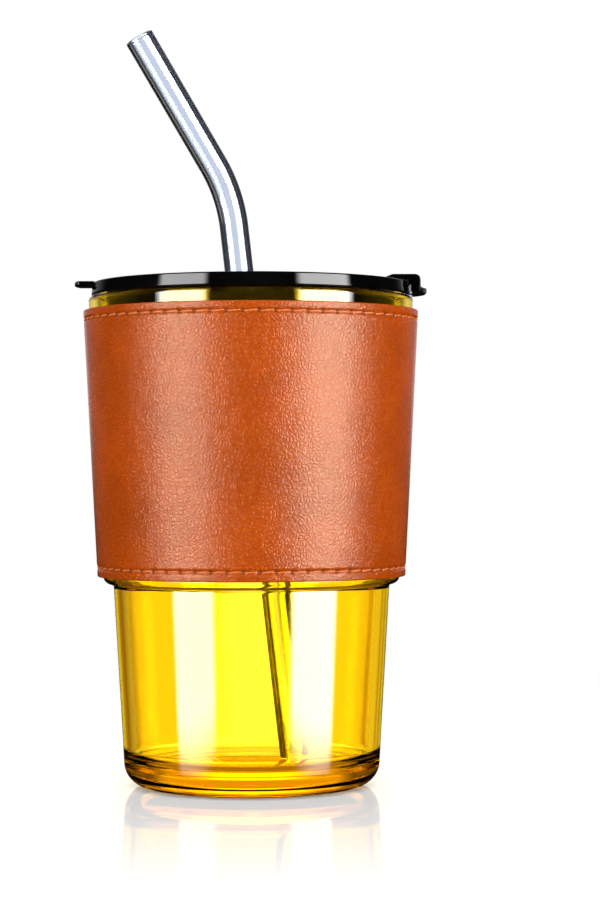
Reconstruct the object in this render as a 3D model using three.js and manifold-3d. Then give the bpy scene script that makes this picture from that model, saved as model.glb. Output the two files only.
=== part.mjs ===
import * as THREE from 'three';
import { mergeVertices } from 'three/addons/utils/BufferGeometryUtils.js';
import Module from 'manifold-3d';

// A lidded glass tumbler: stepped amber glass, stitched leather sleeve, press-in lid with a flip cap
// over the drinking slot, and a bent glass straw. Millimetres, +Z up, origin under the centre of the foot.

// Glass
const glassHeight = 135;
const rimRadius = 45.1; // outside of the rim
const glassWall = 3.2;
const rimFillet = 1.2;
const bowlTaper = 4; // radius lost from the rim down to the shoulder
const shoulderHeight = 55.5; // crease under the shoulder
const shoulderRise = 2.7;
const shoulderStep = 2.9; // how far the shoulder steps in
const shoulderFillet = 2.2;
const creaseFillet = 0.6;
const ledgeWidth = 1.6; // nearly flat underside of the shoulder
const ledgeRise = 0.3;
const noseRise = 1.5; // where the shoulder's round side begins, over the crease
const lowerTaper = 3.2; // radius lost from the crease down to the table
const footFillet = 6.5;
const floorThickness = 7;
const floorFillet = 4;
const footRingWidth = 4; // flat ring that stands on the table
const puntDepth = 1; // hollow under the foot
const puntSlope = 3; // width of the hollow's sloping edge

// Sleeve
const sleeveTopDrop = 3.8; // below the rim
const sleeveBottomDrop = 0.4; // below the top of the shoulder
const sleeveFit = 0.2; // glass to lining
const liningThickness = 0.35;
const liningInset = 0.5; // lining edge inside the leather's edge
const glueLine = 0.15; // lining to leather
const leatherThickness = 0.85;
const leatherEdgeFillet = 0.5;
const seamGap = 0.5; // where the leather's ends meet at the back

// Stitching
const threadRadius = 0.32;
const threadRise = 0.25; // how far a stitch stands over its needle holes
const threadClearance = 0.08;
const stitchPitch = 4.33;
const stitchInset = 2.6; // row to leather edge
const seamStitchInset = 2.2; // row to the meeting ends
const seamEndInset = 5.4; // row end to leather edge
const channelDepth = 0.45; // the rows lie in pressed channels
const channelWidth = 1.4;

// Lid
const lidInset = 0.8; // lid edge inside the glass rim
const lidSeatGap = 0.3;
const lidEdgeHeight = 3.6;
const lidDraft = 0.4;
const lidEdgeFillet = 0.5;
const lidEdgeWidth = 2.8;
const recessDepth = 2.4;
const recessFillet = 0.6;
const panelThickness = 1.8;
const plugDepth = 9;
const plugWall = 1.8;
const plugClearance = 1.4; // plug to glass
const plugFillet = 0.8;
const tabWidth = 10;
const tabReach = 4.6; // past the lid's edge
const tabThickness = 1.35;
const tabRise = 0.45; // above the lid's top edge
const tabCornerDrop = 1.2; // tab corners behind its end

// Gasket
const grooveDrop = 3.4; // below the glass rim
const grooveHeight = 3.2;
const grooveDepth = 1;
const gasketFit = 0.15;
const gasketPlay = 0.2; // lips to glass
const lipPlaces = [0.35, 0.85]; // lips up the gasket's height
const lipNotch = 0.5; // notch between them

// Flip cap, its hinge and its stopper
const capWidth = 20;
const capThickness = 1.5;
const capClearance = 0.3; // cap to recess floor
const hingeReach = 16; // hinge to lid centre
const barrelRadius = 1.7;
const pinRadius = 0.8;
const pinFit = 0.1;
const pinEndInset = 0.3;
const earThickness = 2.5;
const earMargin = 0.5; // ear past the barrel
const earGap = 0.3;
const earRoot = 0.8; // ear sunk in the panel
const rampRun = 2.8;
const rampKnee = 1; // where the steep start of the ramp's top meets its gentle end, below the bridge
const rampKneeRun = 0.3; // its steep start
const rampGap = 0.7; // ramp to the wall of the recess
const bridgeGap = 0.4; // bridge over the lid's edge
const bridgeFillet = 2.5;
const legGap = 0.9; // leg to lid edge
const legThickness = 1.4;
const legLength = 3.4; // below the bridge
const lipReach = 2.3;
const lipThickness = 1.3;
const lipCornerDrop = 2.7; // lip corners behind its tip
const webWidth = 17; // web that fills the leg's inside and follows the lid's edge
const webGap = 0.45; // web to lid edge
const slotLength = 14;
const slotWidth = 6;
const slotInset = 8.3; // slot centre to the wall of the recess
const slotClearance = 0.35;
const stopperProud = 0.3; // below the panel
const stopperChamfer = 0.5;
const studRadius = 1.6;
const studHeadRadius = 2.6;
const studHeadHeight = 0.9;
const studFit = 0.12;

// Straw and its grommet
const strawRadius = 4;
const strawWall = 1;
const strawHoleX = -2.5;
const strawLean = THREE.MathUtils.degToRad(6.4);
const strawRestGap = 0.3;
const strawAbove = 19; // straight length from the grommet to the bend
const strawBendRadius = 36;
const strawBend = THREE.MathUtils.degToRad(29.5);
const strawBendTurn = THREE.MathUtils.degToRad(36); // bend turned from -X towards -Y
const strawUpper = 40.5;
const strawPlay = 0.15;
const grommetWall = 2;
const grommetFlange = 1.7;
const grommetFlangeHeight = 1.2;
const grommetFit = 0.15;

// Facets
const wallSegments = 48;
const holeSegments = 24;
const pinSegments = 16;
const strawSides = 16;
const strawBendSteps = 7;
const threadSides = 4;
const tongueSteps = 12;
const oblongSteps = 8;
const fineFillet = 2; // fillets above this radius get more facets
const filletRoom = 0.45; // the most of an edge that a fillet takes
const cutMargin = 1; // cutters reach past the faces that they cut

// Heights and radii that follow from the sizes above
const shoulderTop = shoulderHeight + shoulderRise;
const bowlFootRadius = rimRadius - bowlTaper;
const lowerTopRadius = bowlFootRadius - shoulderStep;
const footRadius = lowerTopRadius - lowerTaper;
const shoulderTurn = Math.atan2(shoulderStep, shoulderRise);
const innerLift = glassWall * Math.tan(shoulderTurn / 2); // keeps the wall even round the shoulder
const footRingInner = footRadius - footFillet - footRingWidth;

const sleeveTop = glassHeight - sleeveTopDrop;
const sleeveBottom = shoulderTop - sleeveBottomDrop;
const leatherOffset = sleeveFit + liningThickness + glueLine;
const seamStitchX = seamGap / 2 + seamStitchInset;

const lidRadius = rimRadius - lidInset;
const lidUnder = glassHeight + lidSeatGap;
const lidTop = lidUnder + lidEdgeHeight;
const recessRadius = lidRadius - lidEdgeWidth;
const recessFloor = lidTop - recessDepth;
const panelUnder = recessFloor - panelThickness;
const plugBottom = lidUnder - plugDepth;
const plugRadius = glassInside(plugBottom) - plugClearance;
const grooveTop = glassHeight - grooveDrop;
const grooveBottom = grooveTop - grooveHeight;

const capUnder = recessFloor + capClearance;
const capTop = capUnder + capThickness;
const hingeHeight = capUnder + barrelRadius;
const slotX = recessRadius - slotInset;
const earOffset = capWidth / 2 + earGap + earThickness / 2;

const grommetTop = recessFloor + grommetFit + grommetFlangeHeight;
const grommetBottom = panelUnder - grommetFit - grommetFlangeHeight;
const strawPivotHeight = (grommetTop + grommetBottom) / 2;
const grommetSlack = (grommetTop - grommetBottom) / 2 * Math.tan(strawLean);
const grommetBore = strawRadius / Math.cos(strawLean) + grommetSlack + strawPlay;
const grommetNeck = grommetBore + grommetWall;

function bowlRadius(height) {
  return rimRadius - bowlTaper * (glassHeight - height) / (glassHeight - shoulderTop);
}

function lowerRadius(height) {
  return footRadius + lowerTaper * height / shoulderHeight;
}

function glassInside(height) {
  const span = glassHeight - shoulderTop - innerLift;
  return rimRadius - glassWall - bowlTaper * (glassHeight - height) / span;
}

function leatherRadius(height) {
  return bowlRadius(height) + leatherOffset + leatherThickness;
}

const wasm = await Module();
wasm.setup();

// Corners [x, y, fillet] as an outline with each fillet drawn as an arc that fits its edges.
function roundedOutline(corners) {
  const points = [];
  corners.forEach(([x, y, wanted = 0], index) => {
    const corner = new THREE.Vector2(x, y);
    const back = new THREE.Vector2(...corners.at(index - 1).slice(0, 2)).sub(corner);
    const ahead = new THREE.Vector2(...corners[(index + 1) % corners.length].slice(0, 2)).sub(corner);
    const halfAngle = back.angleTo(ahead) / 2;
    const room = filletRoom * Math.min(back.length(), ahead.length());
    const setback = Math.min(wanted / Math.tan(halfAngle), room);
    if (wanted === 0) {
      points.push(corner);
      return;
    }
    const radius = setback * Math.tan(halfAngle);
    const toCentre = back.clone().normalize().add(ahead.clone().normalize());
    const centre = corner.clone().add(toCentre.setLength(radius / Math.sin(halfAngle)));
    const first = corner.clone().add(back.setLength(setback)).sub(centre);
    const last = corner.clone().add(ahead.setLength(setback)).sub(centre);
    const turn = Math.sign(first.cross(last)) * (Math.PI - 2 * halfAngle);
    const perQuarter = wanted > fineFillet ? 4 : 2;
    const steps = Math.max(1, Math.round(perQuarter * Math.abs(turn) / (Math.PI / 2)));
    for (let step = 0; step <= steps; step += 1) {
      const arm = first.clone().rotateAround(new THREE.Vector2(), turn * step / steps);
      points.push(centre.clone().add(arm));
    }
  });
  return points;
}

// A profile of [radius, height, fillet] corners turned about Z.
function revolve(corners, segments = wallSegments) {
  const points = roundedOutline(corners);
  if (corners[0][0] > 0) points.push(points[0].clone());
  return facingOut(new THREE.LatheGeometry(points, segments).rotateX(Math.PI / 2));
}

// An [x, z] outline with width along Y, centred on the given y.
function extrudeAcross(shape, width, y = 0) {
  const geometry = new THREE.ExtrudeGeometry(shape, { depth: width, bevelEnabled: false });
  return facingOut(geometry.rotateX(Math.PI / 2).translate(0, y + width / 2, 0));
}

// An [x, y] outline raised from one height to another.
function extrudeUp(shape, bottom, top) {
  const geometry = new THREE.ExtrudeGeometry(shape, { depth: top - bottom, bevelEnabled: false });
  return facingOut(geometry.translate(0, 0, bottom));
}

function uprightCylinder(radius, bottom, top, x) {
  const geometry = new THREE.CylinderGeometry(radius, radius, top - bottom, holeSegments);
  return geometry.rotateX(Math.PI / 2).translate(x, 0, (bottom + top) / 2);
}

// Rings of points joined in order. A closed loft joins its last ring to its first, others have flat ends.
function loft(rings, closed) {
  const sides = rings[0].length;
  const index = [];
  const count = closed ? rings.length : rings.length - 1;
  for (let ring = 0; ring < count; ring += 1) {
    const next = (ring + 1) % rings.length;
    for (let side = 0; side < sides; side += 1) {
      const beside = (side + 1) % sides;
      const [a, b] = [ring * sides + side, ring * sides + beside];
      const [c, d] = [next * sides + side, next * sides + beside];
      index.push(a, b, d, a, d, c);
    }
  }
  const lastRing = (rings.length - 1) * sides;
  for (let side = 1; !closed && side < sides - 1; side += 1) {
    index.push(0, side + 1, side);
    index.push(lastRing, lastRing + side, lastRing + side + 1);
  }
  const geometry = new THREE.BufferGeometry().setFromPoints(rings.flat());
  geometry.setIndex(index);
  return facingOut(geometry);
}

// Closed triangles with shared vertices, turned so that they face outward.
function facingOut(geometry) {
  geometry.deleteAttribute('normal');
  geometry.deleteAttribute('uv');
  const merged = mergeVertices(geometry, 1e-4);
  const position = merged.getAttribute('position');
  const corner = (index) => new THREE.Vector3().fromBufferAttribute(position, index);
  const source = merged.getIndex().array;
  const triangles = [];
  let volume = 0;
  for (let at = 0; at < source.length; at += 3) {
    const [a, b, c] = source.slice(at, at + 3);
    if (a === b || b === c || c === a) continue;
    triangles.push([a, b, c]);
    volume += corner(a).dot(corner(b).cross(corner(c)));
  }
  const outward = volume > 0 ? triangles : triangles.map(([a, b, c]) => [a, c, b]);
  merged.setIndex(outward.flat());
  merged.computeVertexNormals();
  return merged;
}

function solidOf(geometry) {
  const bare = facingOut(geometry.clone());
  const vertProperties = new Float32Array(bare.getAttribute('position').array);
  const triVerts = new Uint32Array(bare.getIndex().array);
  return new wasm.Manifold(new wasm.Mesh({ numProp: 3, vertProperties, triVerts }));
}

function geometryOf(solid) {
  const mesh = solid.getMesh();
  const geometry = new THREE.BufferGeometry();
  geometry.setAttribute('position', new THREE.BufferAttribute(mesh.vertProperties.slice(), 3));
  geometry.setIndex(new THREE.BufferAttribute(mesh.triVerts.slice(), 1));
  geometry.computeVertexNormals();
  return geometry;
}

function joinAndCut(base, joins, cuts) {
  let solid = solidOf(base);
  for (const piece of joins) solid = solid.add(solidOf(piece));
  for (const piece of cuts) solid = solid.subtract(solidOf(piece));
  return geometryOf(solid);
}

function glassCup() {
  return revolve([
    [0, puntDepth],
    [footRingInner - puntSlope, puntDepth, puntSlope],
    [footRingInner, 0],
    [footRadius, 0, footFillet],
    [lowerTopRadius, shoulderHeight, creaseFillet],
    [lowerTopRadius + ledgeWidth, shoulderHeight + ledgeRise, shoulderFillet],
    [bowlRadius(shoulderHeight + noseRise), shoulderHeight + noseRise, shoulderFillet],
    [rimRadius, glassHeight, rimFillet],
    [rimRadius - glassWall, glassHeight, rimFillet],
    [bowlFootRadius - glassWall, shoulderTop + innerLift, shoulderFillet],
    [lowerTopRadius - glassWall, shoulderHeight + innerLift, shoulderFillet],
    [lowerRadius(floorThickness) - glassWall, floorThickness, floorFillet],
    [0, floorThickness],
  ]);
}

// The pressed channel of an edge row, as corners from its lower to its upper side.
function edgeChannel(rowHeight) {
  const half = channelWidth / 2;
  const floor = half / 2;
  return [
    [leatherRadius(rowHeight - half), rowHeight - half],
    [leatherRadius(rowHeight - floor) - channelDepth, rowHeight - floor],
    [leatherRadius(rowHeight + floor) - channelDepth, rowHeight + floor],
    [leatherRadius(rowHeight + half), rowHeight + half],
  ];
}

// A strip that follows the sleeve's slope at the back, to cut the seam and its two channels.
function backStrip(x, width, depth, bottom, top) {
  const past = leatherThickness + glueLine;
  const ring = (height) => {
    const floor = leatherRadius(height) - depth;
    const outer = leatherRadius(height) + past;
    const corners = [[-1, floor], [1, floor], [1, outer], [-1, outer]];
    return corners.map(([side, y]) => new THREE.Vector3(x + side * width / 2, y, height));
  };
  return loft([ring(bottom), ring(top)], false);
}

function sleeveLeather() {
  const inside = (height) => bowlRadius(height) + leatherOffset;
  const wrap = revolve([
    [inside(sleeveBottom), sleeveBottom],
    [leatherRadius(sleeveBottom), sleeveBottom, leatherEdgeFillet],
    ...edgeChannel(sleeveBottom + stitchInset),
    ...edgeChannel(sleeveTop - stitchInset),
    [leatherRadius(sleeveTop), sleeveTop, leatherEdgeFillet],
    [inside(sleeveTop), sleeveTop],
  ]);
  const through = leatherThickness + glueLine;
  const seam = backStrip(0, seamGap, through, sleeveBottom - cutMargin, sleeveTop + cutMargin);
  const rowBottom = sleeveBottom + seamEndInset - channelWidth / 2;
  const rowTop = sleeveTop - seamEndInset + channelWidth / 2;
  const channels = [-1, 1].map((side) => (
    backStrip(side * seamStitchX, channelWidth, channelDepth, rowBottom, rowTop)
  ));
  return joinAndCut(wrap, [], [seam, ...channels]);
}

function sleeveLining() {
  const inside = (height) => bowlRadius(height) + sleeveFit;
  const outside = (height) => inside(height) + liningThickness;
  const bottom = sleeveBottom + liningInset;
  const top = sleeveTop - liningInset;
  return revolve([
    [inside(bottom), bottom],
    [outside(bottom), bottom],
    [outside(top), top],
    [inside(top), top],
  ]);
}

// Distance of the thread's centre from the axis: low at a needle hole, high at mid-stitch.
function threadCentre(height, halfStitch) {
  const low = leatherRadius(height) - channelDepth + threadClearance + threadRadius;
  return halfStitch % 2 === 0 ? low : low + threadRise;
}

function threadRing(centre, outward, along) {
  const across = outward.clone().cross(along);
  return Array.from({ length: threadSides }, (_, side) => {
    const angle = 2 * Math.PI * side / threadSides;
    const offset = outward.clone().multiplyScalar(Math.cos(angle)).addScaledVector(across, Math.sin(angle));
    return centre.clone().addScaledVector(offset, threadRadius);
  });
}

// One thread that runs round an edge of the sleeve.
function edgeStitching(rowHeight) {
  const stitches = Math.round(2 * Math.PI * leatherRadius(rowHeight) / stitchPitch);
  const rings = Array.from({ length: 2 * stitches }, (_, halfStitch) => {
    const angle = Math.PI * halfStitch / stitches;
    const outward = new THREE.Vector3(Math.cos(angle), Math.sin(angle), 0);
    const along = new THREE.Vector3(-Math.sin(angle), Math.cos(angle), 0);
    const centre = outward.clone().multiplyScalar(threadCentre(rowHeight, halfStitch));
    return threadRing(centre.setZ(rowHeight), outward, along);
  });
  return loft(rings, true);
}

// One thread that runs up beside the meeting ends at the back.
function seamStitching(side) {
  const bottom = sleeveBottom + seamEndInset;
  const length = sleeveTop - seamEndInset - bottom;
  const stitches = Math.round(length / stitchPitch);
  const back = new THREE.Vector3(0, 1, 0);
  const up = new THREE.Vector3(0, 0, 1);
  const rings = Array.from({ length: 2 * stitches + 1 }, (_, halfStitch) => {
    const height = bottom + length * halfStitch / (2 * stitches);
    const y = threadCentre(height, halfStitch);
    return threadRing(new THREE.Vector3(side * seamStitchX, y, height), back, up);
  });
  return loft(rings, false);
}

// A tongue with an arc-shaped end: two root corners at rootX and the end at tipX, either way along X.
function tongueShape(backX, rootX, tipX, width) {
  const way = Math.sign(tipX - rootX);
  const rise = Math.abs(tipX - rootX);
  const radius = (width * width / 4 + rise * rise) / (2 * rise);
  const halfAngle = Math.atan2(width / 2, radius - rise);
  const points = [new THREE.Vector2(backX, -width / 2)];
  for (let step = 0; step <= tongueSteps; step += 1) {
    const angle = halfAngle * (2 * step / tongueSteps - 1);
    const x = tipX - way * radius * (1 - Math.cos(angle));
    points.push(new THREE.Vector2(x, radius * Math.sin(angle)));
  }
  points.push(new THREE.Vector2(backX, width / 2));
  return new THREE.Shape(points);
}

// An oblong with round ends, long side along Y.
function oblongPoints(length, width, x) {
  const half = (length - width) / 2;
  const end = (side) => Array.from({ length: oblongSteps + 1 }, (_, step) => {
    const angle = side * Math.PI / 2 + Math.PI * (step / oblongSteps - 0.5);
    return new THREE.Vector2(x + width / 2 * Math.cos(angle), side * half + width / 2 * Math.sin(angle));
  });
  return [...end(1), ...end(-1)];
}

// A hinge ear: round top about the hinge, straight sides down into the panel, pin hole through it.
function hingeEar(side) {
  const radius = barrelRadius + earMargin;
  const shape = new THREE.Shape();
  shape.moveTo(hingeReach - radius, recessFloor - earRoot);
  shape.lineTo(hingeReach + radius, recessFloor - earRoot);
  shape.absarc(hingeReach, hingeHeight, radius, 0, Math.PI, false);
  const hole = new THREE.Path();
  hole.absarc(hingeReach, hingeHeight, pinRadius + pinFit, 0, 2 * Math.PI, false);
  shape.holes.push(hole);
  return extrudeAcross(shape, earThickness, side * earOffset);
}

function lidBody() {
  const moulding = revolve([
    [0, panelUnder],
    [plugRadius - plugWall, panelUnder, plugFillet],
    [plugRadius - plugWall, plugBottom],
    [plugRadius, plugBottom, plugFillet],
    [plugRadius, grooveBottom],
    [plugRadius - grooveDepth, grooveBottom],
    [plugRadius - grooveDepth, grooveTop],
    [plugRadius, grooveTop],
    [plugRadius, lidUnder],
    [lidRadius, lidUnder, recessFillet],
    [lidRadius - lidDraft, lidTop, lidEdgeFillet],
    [recessRadius, lidTop, recessFillet],
    [recessRadius, recessFloor, recessFillet],
    [0, recessFloor],
  ]);
  const tabRoot = lidRadius - lidEdgeWidth / 2;
  const tabEnd = lidRadius + tabReach;
  const tabShape = tongueShape(-tabRoot, tabCornerDrop - tabEnd, -tabEnd, tabWidth);
  const tabTop = lidTop + tabRise;
  const tab = extrudeUp(tabShape, tabTop - tabThickness, tabTop);
  const holeBottom = panelUnder - cutMargin;
  const holeTop = recessFloor + cutMargin;
  const strawHole = uprightCylinder(grommetNeck + grommetFit, holeBottom, holeTop, strawHoleX);
  const slotShape = new THREE.Shape(oblongPoints(slotLength, slotWidth, slotX));
  const slot = extrudeUp(slotShape, holeBottom, holeTop);
  return joinAndCut(moulding, [tab, hingeEar(-1), hingeEar(1)], [strawHole, slot]);
}

// A ring in the plug's groove with two lips that reach for the glass.
function lidGasket() {
  const bottom = grooveBottom + gasketFit;
  const height = grooveHeight - 2 * gasketFit;
  const inside = plugRadius - grooveDepth + gasketFit;
  const root = plugRadius + gasketFit;
  const at = (share) => bottom + share * height;
  const lip = (share) => [glassInside(at(share)) - gasketPlay, at(share)];
  return revolve([
    [inside, bottom],
    [root, bottom],
    lip(lipPlaces[0]),
    [root, at(lipNotch)],
    lip(lipPlaces[1]),
    [root, at(1)],
    [inside, at(1)],
  ]);
}

function flipCap() {
  const bridgeUnder = lidTop + bridgeGap;
  const bridgeTop = bridgeUnder + capThickness;
  const halfWidth = capWidth / 2;
  const rampEnd = Math.sqrt(recessRadius ** 2 - halfWidth ** 2) - rampGap;
  const rampStart = rampEnd - rampRun;
  const rampTopStart = rampStart - capThickness / 2;
  const legInner = lidRadius + legGap;
  const legOuter = legInner + legThickness;
  const legBottom = bridgeUnder - legLength;
  const lipEnd = legOuter + lipReach;
  const profile = roundedOutline([
    [hingeReach, capUnder],
    [rampStart, capUnder, capThickness],
    [rampEnd, bridgeUnder, capThickness],
    [legInner, bridgeUnder, bridgeFillet - legThickness],
    [legInner, legBottom],
    [lipEnd, legBottom, lipThickness / 2],
    [lipEnd, legBottom + lipThickness, lipThickness / 2],
    [legOuter, legBottom + lipThickness, lipThickness / 2],
    [legOuter, bridgeTop, bridgeFillet],
    [rampEnd - capThickness / 2, bridgeTop, capThickness],
    [rampTopStart + rampKneeRun, bridgeTop - rampKnee, capThickness],
    [rampTopStart, capTop, capThickness / 4],
    [hingeReach, capTop],
  ]);
  const arm = solidOf(extrudeAcross(new THREE.Shape(profile), capWidth));
  const webOuter = legInner + legThickness / 2;
  const webShape = new THREE.Shape();
  webShape.moveTo(recessRadius, legBottom);
  webShape.lineTo(webOuter, legBottom);
  webShape.lineTo(webOuter, bridgeUnder + capThickness / 2);
  webShape.lineTo(recessRadius, bridgeUnder + capThickness / 2);
  const lidRoom = solidOf(revolve([
    [0, legBottom - cutMargin],
    [lidRadius + webGap, legBottom - cutMargin],
    [lidRadius + webGap, bridgeUnder],
    [0, bridgeUnder],
  ]));
  const web = solidOf(extrudeAcross(webShape, webWidth)).subtract(lidRoom);
  const barrelShape = new THREE.Shape();
  barrelShape.absarc(hingeReach, hingeHeight, barrelRadius, 0, 2 * Math.PI, false);
  const barrel = solidOf(extrudeAcross(barrelShape, capWidth));
  const planBack = hingeReach - 2 * barrelRadius;
  const planShape = tongueShape(planBack, lipEnd - lipCornerDrop, lipEnd, capWidth);
  const plan = solidOf(extrudeUp(planShape, legBottom - cutMargin, bridgeTop + cutMargin));
  const pinHoleShape = new THREE.Shape();
  pinHoleShape.absarc(hingeReach, hingeHeight, pinRadius + pinFit, 0, 2 * Math.PI, false);
  const pinHole = solidOf(extrudeAcross(pinHoleShape, capWidth + 2 * cutMargin));
  const studHoleTop = capTop + cutMargin;
  const studHole = solidOf(uprightCylinder(studRadius + studFit, capUnder - cutMargin, studHoleTop, slotX));
  return geometryOf(arm.intersect(plan).add(web).add(barrel).subtract(pinHole).subtract(studHole));
}

// Soft stopper: an oblong block in the slot, held by a stud with a round head on top of the cap.
function flipCapStopper() {
  const top = capUnder - studFit;
  const bottom = panelUnder - stopperProud;
  const ring = (inset, height) => {
    const length = slotLength - 2 * (slotClearance + inset);
    const width = slotWidth - 2 * (slotClearance + inset);
    return oblongPoints(length, width, slotX).map(({ x, y }) => new THREE.Vector3(x, y, height));
  };
  const rings = [ring(stopperChamfer, bottom), ring(0, bottom + stopperChamfer), ring(0, top)];
  const block = loft(rings, false);
  const headBottom = capTop + studFit;
  const stud = revolve([
    [0, top - stopperChamfer],
    [studRadius, top - stopperChamfer],
    [studRadius, headBottom],
    [studHeadRadius, headBottom],
    [studHeadRadius, headBottom + studHeadHeight, studHeadHeight],
    [0, headBottom + studHeadHeight],
  ], holeSegments);
  return joinAndCut(block, [stud.translate(slotX, 0, 0)], []);
}

function strawGrommet() {
  const flangeRadius = grommetNeck + grommetFlange;
  return revolve([
    [grommetBore, grommetBottom],
    [flangeRadius - grommetFlangeHeight / 2, grommetBottom],
    [flangeRadius, grommetBottom + grommetFlangeHeight],
    [grommetNeck, grommetBottom + grommetFlangeHeight],
    [grommetNeck, grommetTop - grommetFlangeHeight],
    [flangeRadius, grommetTop - grommetFlangeHeight],
    [flangeRadius, grommetTop, grommetFlangeHeight / 2],
    [grommetBore, grommetTop],
  ], holeSegments);
}

// Straw in its own frame: lower part along Z through the grommet's centre, bend towards -X.
function strawTube() {
  const drop = strawPivotHeight - floorThickness - strawRestGap - strawRadius * Math.sin(strawLean);
  const lower = drop / Math.cos(strawLean);
  const stations = [{ x: 0, z: -lower, tilt: 0 }];
  for (let step = 0; step <= strawBendSteps; step += 1) {
    const tilt = strawBend * step / strawBendSteps;
    const x = -strawBendRadius * (1 - Math.cos(tilt));
    stations.push({ x, z: strawAbove + strawBendRadius * Math.sin(tilt), tilt });
  }
  const bent = stations.at(-1);
  const topX = bent.x - strawUpper * Math.sin(strawBend);
  stations.push({ x: topX, z: bent.z + strawUpper * Math.cos(strawBend), tilt: strawBend });
  const ring = ({ x, z, tilt }, radius) => Array.from({ length: strawSides }, (_, side) => {
    const angle = 2 * Math.PI * side / strawSides;
    const across = radius * Math.cos(angle);
    return new THREE.Vector3(
      x + across * Math.cos(tilt), radius * Math.sin(angle), z + across * Math.sin(tilt),
    );
  });
  const outside = stations.map((station) => ring(station, strawRadius));
  const inside = stations.map((station) => ring(station, strawRadius - strawWall));
  return loft([...outside, ...inside.reverse()], true);
}

function part(name, geometry, color, roughness, metalness = 0) {
  const mesh = new THREE.Mesh(geometry, new THREE.MeshStandardMaterial({ color, roughness, metalness }));
  mesh.name = name;
  return mesh;
}

const amberGlass = 0xf0bf10;
const tanLeather = 0xc0571a;
const tanLining = 0xb9814f;
const orangeThread = 0xe0812b;
const glossBlack = 0x0c0c0e;
const softBlack = 0x1b1b1d;
const steel = 0xb9bdc2;
const clearGlass = 0xd9e1ea;

const sleeve = new THREE.Group();
sleeve.add(
  part('sleeve_leather', sleeveLeather(), tanLeather, 0.5),
  part('sleeve_lining', sleeveLining(), tanLining, 0.9),
  part('sleeve_top_stitching', edgeStitching(sleeveTop - stitchInset), orangeThread, 0.7),
  part('sleeve_bottom_stitching', edgeStitching(sleeveBottom + stitchInset), orangeThread, 0.7),
  part('sleeve_seam_stitching_left', seamStitching(-1), orangeThread, 0.7),
  part('sleeve_seam_stitching_right', seamStitching(1), orangeThread, 0.7),
);

const pinLength = 2 * earOffset + earThickness - 2 * pinEndInset;
const pinShape = new THREE.CylinderGeometry(pinRadius, pinRadius, pinLength, pinSegments);
const hingePin = part('hinge_pin', pinShape, steel, 0.3, 1);
hingePin.position.set(hingeReach, 0, hingeHeight);

const grommet = part('straw_grommet', strawGrommet(), softBlack, 0.7);
grommet.position.x = strawHoleX;

const lid = new THREE.Group();
lid.add(
  part('lid_body', lidBody(), glossBlack, 0.15),
  part('lid_gasket', lidGasket(), softBlack, 0.7),
  part('flip_cap', flipCap(), glossBlack, 0.15),
  part('flip_cap_stopper', flipCapStopper(), softBlack, 0.7),
  hingePin,
  grommet,
);

const straw = part('straw', strawTube(), clearGlass, 0.05);
straw.rotation.z = strawBendTurn;
const strawSeat = new THREE.Group();
strawSeat.position.set(strawHoleX, 0, strawPivotHeight);
strawSeat.rotation.y = -strawLean;
strawSeat.add(straw);

const cup = new THREE.Group();
cup.add(part('glass_cup', glassCup(), amberGlass, 0.05), sleeve, lid, strawSeat);

export default cup;
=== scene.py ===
import math

import bmesh
import bpy
from mathutils import Matrix, Vector


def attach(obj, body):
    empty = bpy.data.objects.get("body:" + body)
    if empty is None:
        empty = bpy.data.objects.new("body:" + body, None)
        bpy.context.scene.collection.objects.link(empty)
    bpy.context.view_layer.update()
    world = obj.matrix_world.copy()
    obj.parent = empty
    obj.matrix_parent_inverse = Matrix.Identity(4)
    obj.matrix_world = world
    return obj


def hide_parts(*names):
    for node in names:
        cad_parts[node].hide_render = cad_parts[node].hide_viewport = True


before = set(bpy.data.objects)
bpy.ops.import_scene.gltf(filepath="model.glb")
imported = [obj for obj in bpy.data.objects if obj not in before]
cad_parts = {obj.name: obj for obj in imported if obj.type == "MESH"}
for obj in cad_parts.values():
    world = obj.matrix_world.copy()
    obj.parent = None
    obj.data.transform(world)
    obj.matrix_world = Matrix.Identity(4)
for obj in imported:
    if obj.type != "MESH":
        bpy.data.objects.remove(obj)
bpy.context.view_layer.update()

mm = 0.001
scene = bpy.context.scene
scene.view_settings.view_transform = "Standard"
print("frame loaded:", len(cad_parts), "nodes")

cameraView = {
    "lens": 98.64, "picture": 36,  # millimetres, along the picture's height
    "place": (0, -0.685, 0.0868),
    "turn": (90.49, 0.15, -1.13),  # degrees
    "nearest": 0.01,
}

bpy.ops.object.select_all(action="DESELECT")
bpy.ops.object.camera_add(
    location=cameraView["place"],
    rotation=[math.radians(angle) for angle in cameraView["turn"]],
)
scene.camera = bpy.context.object
scene.camera.data.lens = cameraView["lens"]
scene.camera.data.sensor_width = cameraView["picture"]
scene.camera.data.clip_start = cameraView["nearest"]
print("camera placed")


# modelling helpers

drawing = {"samePlace": 1e-7, "weld": 0.001 * mm, "bevelTurn": math.radians(11), "leastBevel": 3}


def leaveEdit():
    if bpy.context.mode == "EDIT_MESH":
        bpy.ops.object.mode_set(mode="OBJECT")


def selectOnly(*pieces):
    leaveEdit()
    bpy.ops.object.select_all(action="DESELECT")
    for piece in pieces:
        piece.select_set(True)
    if pieces:
        bpy.context.view_layer.objects.active = pieces[0]


def editPiece(piece):
    selectOnly(piece)
    bpy.ops.object.mode_set(mode="EDIT")


def selectAll():
    bpy.ops.mesh.select_all(action="SELECT")


def extrude(along):
    bpy.ops.mesh.extrude_region_move(TRANSFORM_OT_translate={"value": along})


def pickVertices(piece, wanted):
    bpy.ops.mesh.select_mode(type="VERT")
    bpy.ops.mesh.select_all(action="DESELECT")
    mesh = bmesh.from_edit_mesh(piece.data)
    for vertex in mesh.verts:
        vertex.select = wanted(vertex.co)
    mesh.select_flush(True)
    bmesh.update_edit_mesh(piece.data)


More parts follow.
